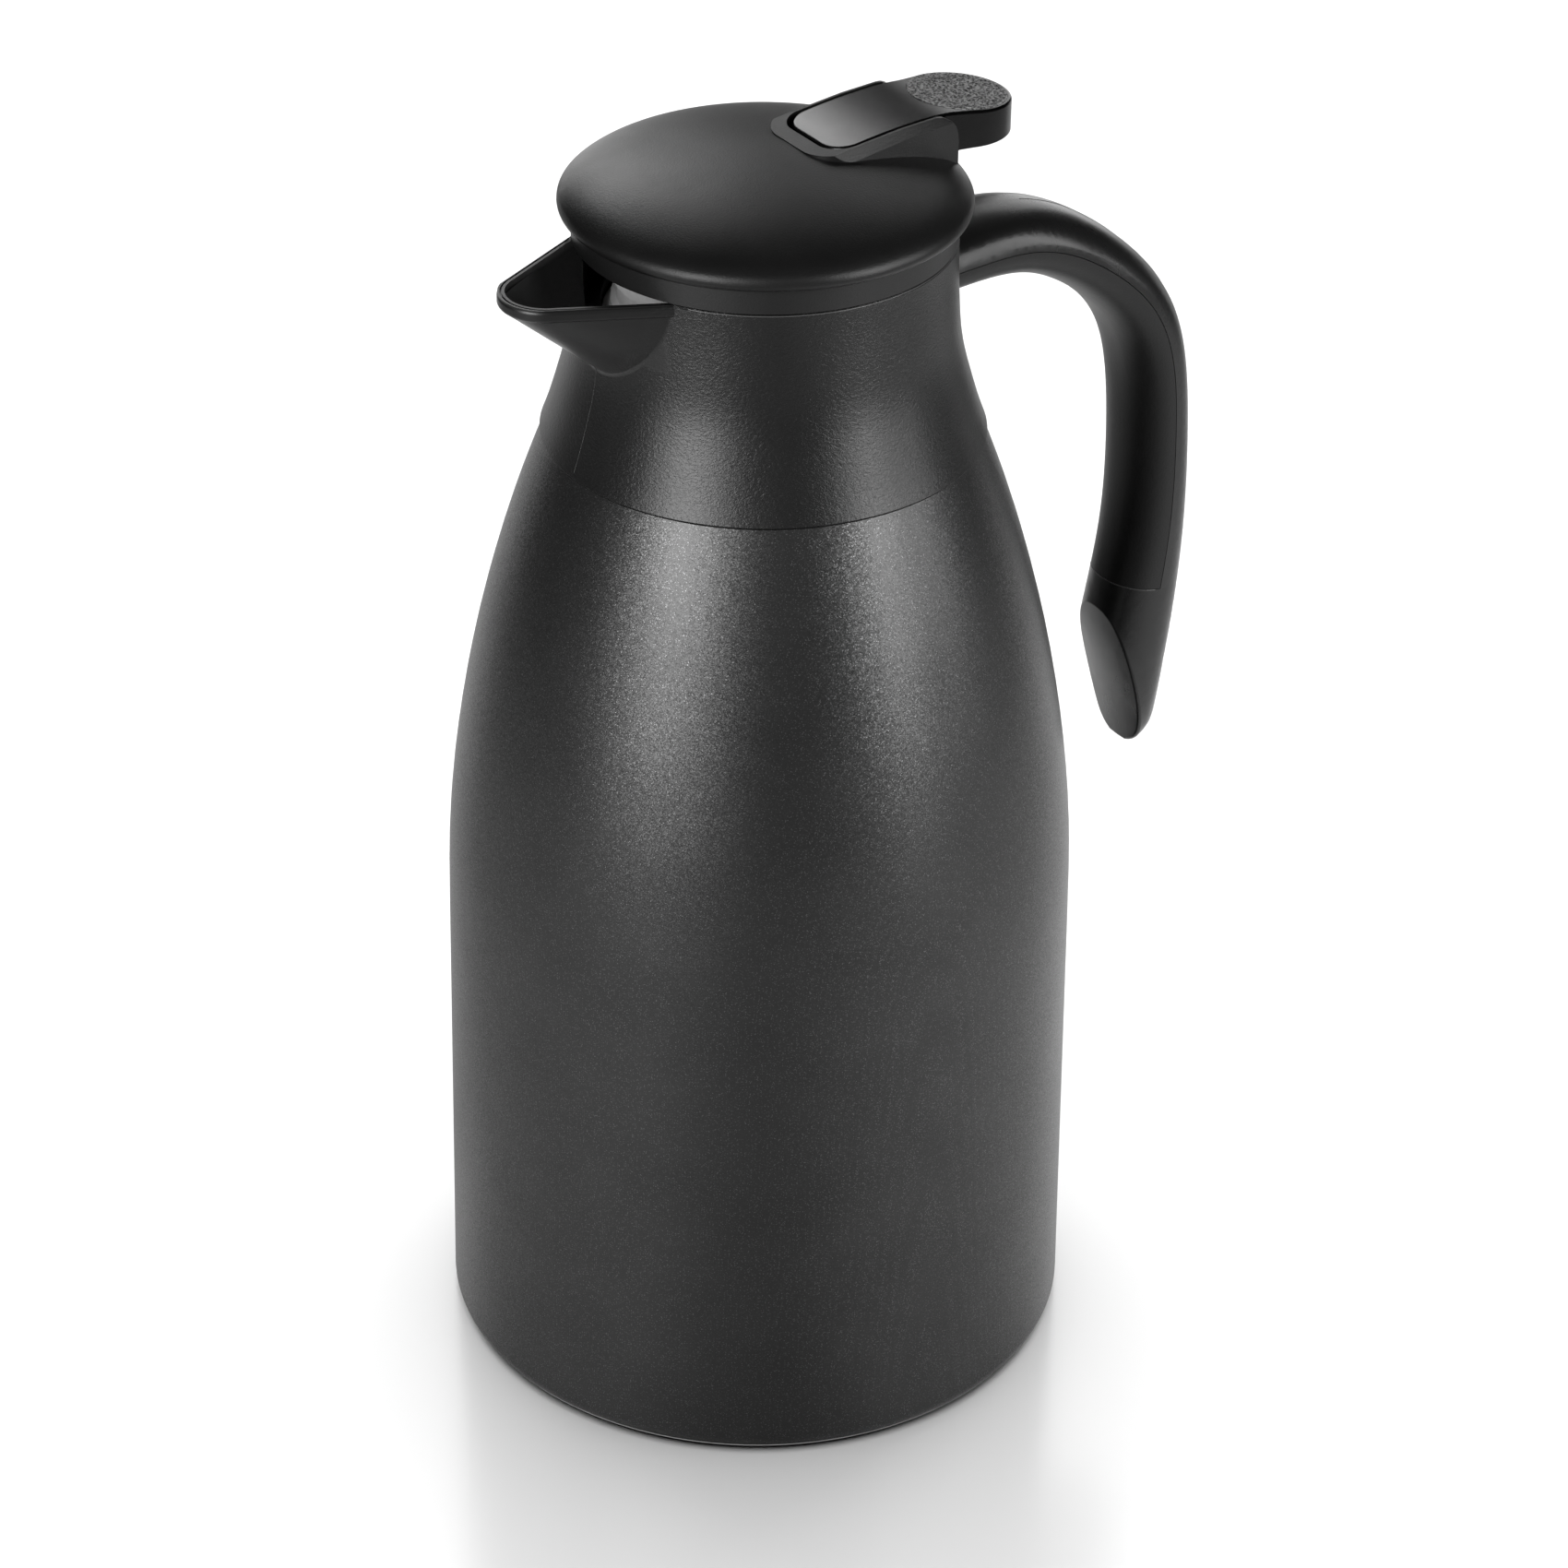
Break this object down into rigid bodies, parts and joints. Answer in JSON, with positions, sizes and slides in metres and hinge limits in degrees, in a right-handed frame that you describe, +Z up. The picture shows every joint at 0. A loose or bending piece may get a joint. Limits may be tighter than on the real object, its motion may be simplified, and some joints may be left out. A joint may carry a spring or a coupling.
{
  "type": "thermal carafe",
  "caption": "Tapered vacuum-insulated serving carafe with a collar spout, an open hook handle, and a screw-in domed lid whose sprung thumb lever lifts a pouring valve.",
  "frame": {"origin": "centre of the round foot, on the plane that the carafe stands on", "axes": "+Z up along the flask's axis, +X towards the handle, -X towards the spout, XZ is the plane of symmetry"},
  "size_m": [0.1786, 0.138, 0.2814],
  "materials": {
    "body_paint": "satin dark metallic paint with fine sparkle",
    "liner_steel": "electropolished",
    "foil": "bright foil",
    "base_steel": "brushed",
    "getter_metal": "matte sintered",
    "seal_glass": "fused solder glass",
    "base_rubber": "matte",
    "collar_plastic": "fine leather grain",
    "silicone": "matte silicone",
    "ring_plastic": "plain moulded",
    "handle_plastic": "satin",
    "handle_cover_plastic": "matte",
    "screw_steel": "plain zinc",
    "lid_plastic": "soft matte",
    "lid_base_plastic": "satin",
    "stopper_plastic": "frosted translucent",
    "valve_plastic": "plain moulded",
    "spring_steel": "drawn wire",
    "lever_plastic": "semi-gloss",
    "pad_plastic": "coarse grain",
    "pin_steel": "ground"
  },
  "bodies": {
    "flask": {"outer_shell": "body_paint", "inner_flask": "liner_steel", "foil_wrap": "foil", "base_plate": "base_steel", "getter": "getter_metal", "vacuum_seal_plug": "seal_glass", "base_pad": "base_rubber", "collar": "collar_plastic", "neck_gasket": "silicone", "retaining_ring": "ring_plastic", "handle_shell": "handle_plastic", "handle_cover": "handle_cover_plastic", "handle_screws": "screw_steel"},
    "seal": {"stopper_seal": "silicone"},
    "lid": {"lid_cap": "lid_plastic", "lid_base": "lid_base_plastic", "lid_screws": "screw_steel", "stopper_body": "stopper_plastic", "lever_pin": "pin_steel", "spring_washer": "screw_steel", "stem_spring": "spring_steel"},
    "lever": {"lever": "lever_plastic", "thumb_pad": "pad_plastic"},
    "valve": {"valve_stem": "valve_plastic", "valve_disc": "valve_plastic", "valve_seal": "silicone", "stem_nut": "screw_steel", "link_pin": "pin_steel"}
  },
  "joints": [
    {"name": "lid_lift", "type": "slide", "parent": "flask", "child": "seal", "axis": [0, 0, 1], "range_m": [0, 0.0395]},
    {"name": "lid_turn", "type": "hinge", "parent": "seal", "child": "lid", "pos_m": [0, 0, 0.24], "axis": [0, 0, 1], "range_deg": [0, 1170]},
    {"name": "lever_press", "type": "hinge", "parent": "lid", "child": "lever", "pos_m": [0.028, 0, 0.2745], "axis": [0, 1, 0], "range_deg": [0, 9], "stiffness_Nm_per_rad": 0.9, "springref_deg": -6.88},
    {"name": "valve_lift", "type": "slide", "parent": "lid", "child": "valve", "axis": [0, 0, 1], "range_m": [0, 0.0046], "deforming": ["stem_spring"]}
  ],
  "couplings": [
    {"joint": "lid_lift", "follows": "lid_turn", "m_per_rad": 0.0019099},
    {"joint": "valve_lift", "follows": "lever_press", "m_per_rad": 0.02832}
  ]
}
